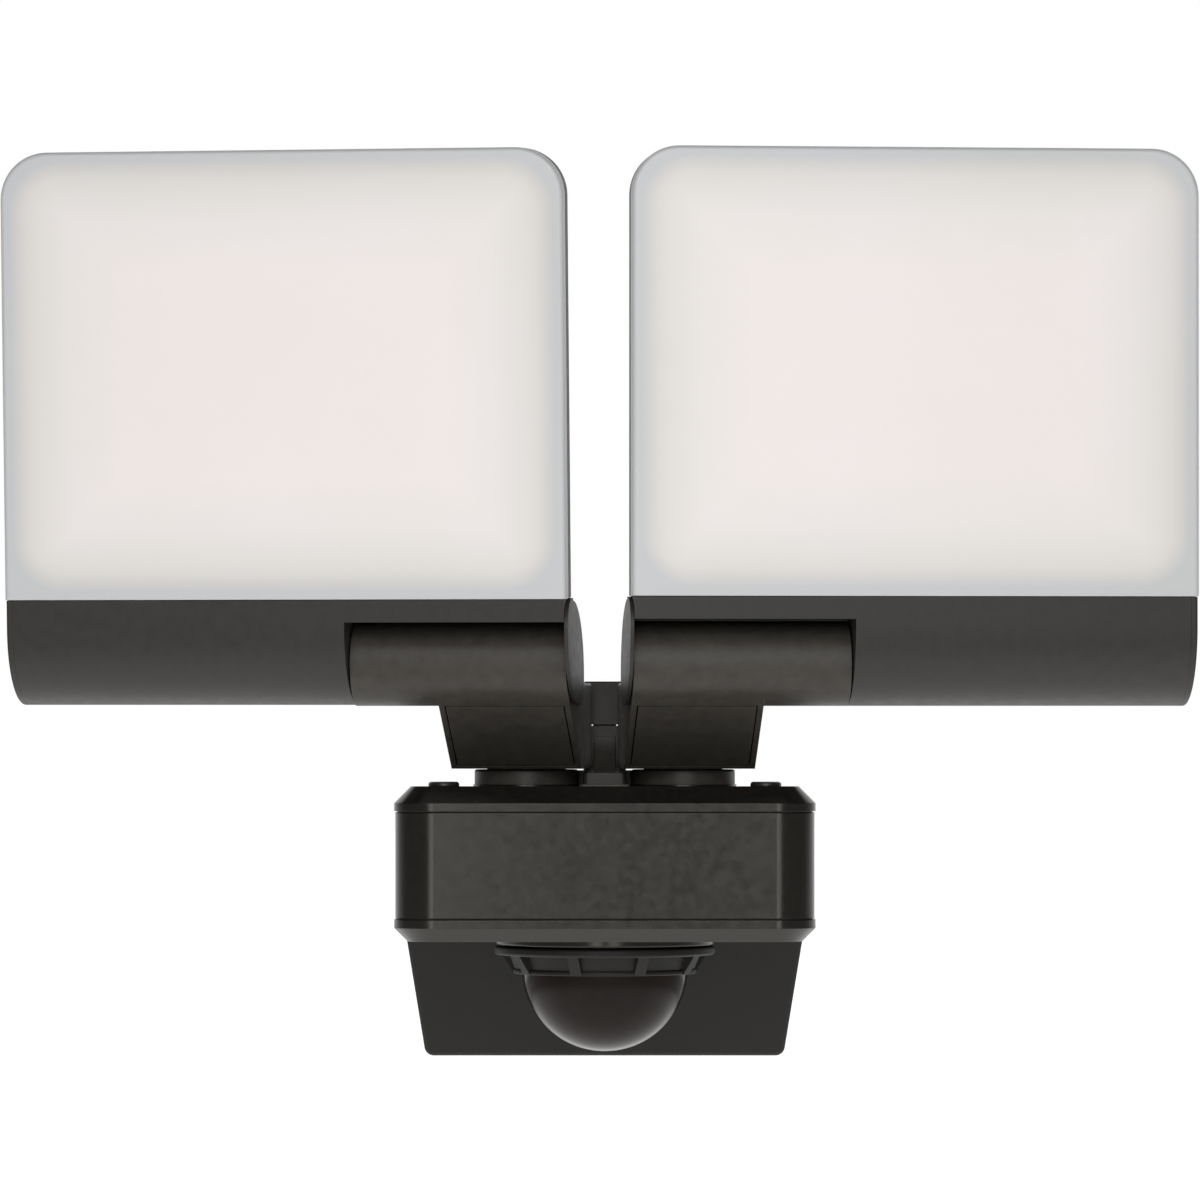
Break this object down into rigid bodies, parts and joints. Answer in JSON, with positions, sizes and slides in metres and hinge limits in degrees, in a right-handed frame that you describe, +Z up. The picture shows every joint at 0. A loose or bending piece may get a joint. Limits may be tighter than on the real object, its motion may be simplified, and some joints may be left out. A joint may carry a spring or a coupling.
{
  "type": "floodlight",
  "caption": "Twin-head LED wall floodlight: two swivelling, tilting light panels on a sensor housing with a motion dome and a wall box.",
  "frame": {"origin": "centre of the wall plate's back face, on the wall", "axes": "+Z up, the lamp looks along -Y, the wall is the plane Y = 0 with its outside towards -Y"},
  "size_m": [0.3019, 0.1404, 0.2325],
  "materials": {
    "cast_aluminium": "fine satin anthracite powder coat",
    "housing_plastic": "fine textured anthracite plastic",
    "opal_diffuser": "frosted opal, light diffusing",
    "smoked_lens": "gloss smoked lens plastic",
    "seal_rubber": "soft black rubber",
    "zinc_steel": "zinc plated",
    "black_screws": "black coated steel",
    "board_green": "solder mask",
    "board_white": "white reflective coating",
    "component_black": "moulded component bodies",
    "sensor_metal": "drawn metal can",
    "led_yellow": "phosphor",
    "terminal_grey": "moulded terminal body",
    "lead_black": "insulated lead"
  },
  "bodies": {
    "base": {"bottom_cap": "housing_plastic", "bottom_screws": "black_screws", "bottom_seal": "seal_rubber", "box_screws": "black_screws", "cable_grommet": "seal_rubber", "centre_post": "housing_plastic", "dome_lens": "smoked_lens", "driver_board": "board_green", "driver_parts": "component_black", "joint_screws": "zinc_steel", "middle_shell": "housing_plastic", "post_cap": "housing_plastic", "pyro_sensor": "sensor_metal", "ring_seat": "housing_plastic", "sensor_board": "board_green", "terminal_block": "terminal_grey", "top_cap": "housing_plastic", "top_screws": "black_screws", "top_seal": "seal_rubber", "wall_box": "housing_plastic", "wall_plate": "zinc_steel", "wall_seal": "seal_rubber", "left_neck": "cast_aluminium", "left_swivel_seal": "seal_rubber", "right_neck": "cast_aluminium", "right_swivel_seal": "seal_rubber"},
    "grip_ring": {"grip_ring": "housing_plastic"},
    "left_arm": {"left_arm": "cast_aluminium", "left_arm_cover": "cast_aluminium", "left_swivel_tube": "zinc_steel", "left_swivel_washer": "zinc_steel", "left_swivel_nut": "zinc_steel", "left_tilt_axle": "zinc_steel", "left_tilt_nut": "zinc_steel", "left_lead": "lead_black"},
    "left_head": {"left_head_frame": "cast_aluminium", "left_bar_outer_cap": "cast_aluminium", "left_bar_inner_cap": "cast_aluminium", "left_diffuser": "opal_diffuser", "left_diffuser_seal": "seal_rubber", "left_led_board": "board_white", "left_leds": "led_yellow", "left_reflector": "board_white"},
    "right_arm": {"right_arm": "cast_aluminium", "right_arm_cover": "cast_aluminium", "right_swivel_tube": "zinc_steel", "right_swivel_washer": "zinc_steel", "right_swivel_nut": "zinc_steel", "right_tilt_axle": "zinc_steel", "right_tilt_nut": "zinc_steel", "right_lead": "lead_black"},
    "right_head": {"right_head_frame": "cast_aluminium", "right_bar_outer_cap": "cast_aluminium", "right_bar_inner_cap": "cast_aluminium", "right_diffuser": "opal_diffuser", "right_diffuser_seal": "seal_rubber", "right_led_board": "board_white", "right_leds": "led_yellow", "right_reflector": "board_white"}
  },
  "joints": [
    {"name": "left_swivel", "type": "hinge", "parent": "base", "child": "left_arm", "pos_m": [-0.0201, -0.084, 0.042], "axis": [0, 0, -1], "range_deg": [-8.4, 36.6]},
    {"name": "left_tilt", "type": "hinge", "parent": "left_arm", "child": "left_head", "pos_m": [-0.02477, -0.11566, 0.069], "axis": [0.9893, -0.1461, 0], "range_deg": [-33.4, 86.6]},
    {"name": "right_swivel", "type": "hinge", "parent": "base", "child": "right_arm", "pos_m": [0.0201, -0.084, 0.042], "axis": [0, 0, 1], "range_deg": [-5.2, 39.8]},
    {"name": "right_tilt", "type": "hinge", "parent": "right_arm", "child": "right_head", "pos_m": [0.023, -0.11587, 0.069], "axis": [0.9959, 0.0906, 0], "range_deg": [-30.2, 89.8]},
    {"name": "ring_turn", "type": "hinge", "parent": "base", "child": "grip_ring", "pos_m": [0, -0.093, -0.006], "axis": [0, 0, 1], "range_deg": [0, 25]}
  ]
}
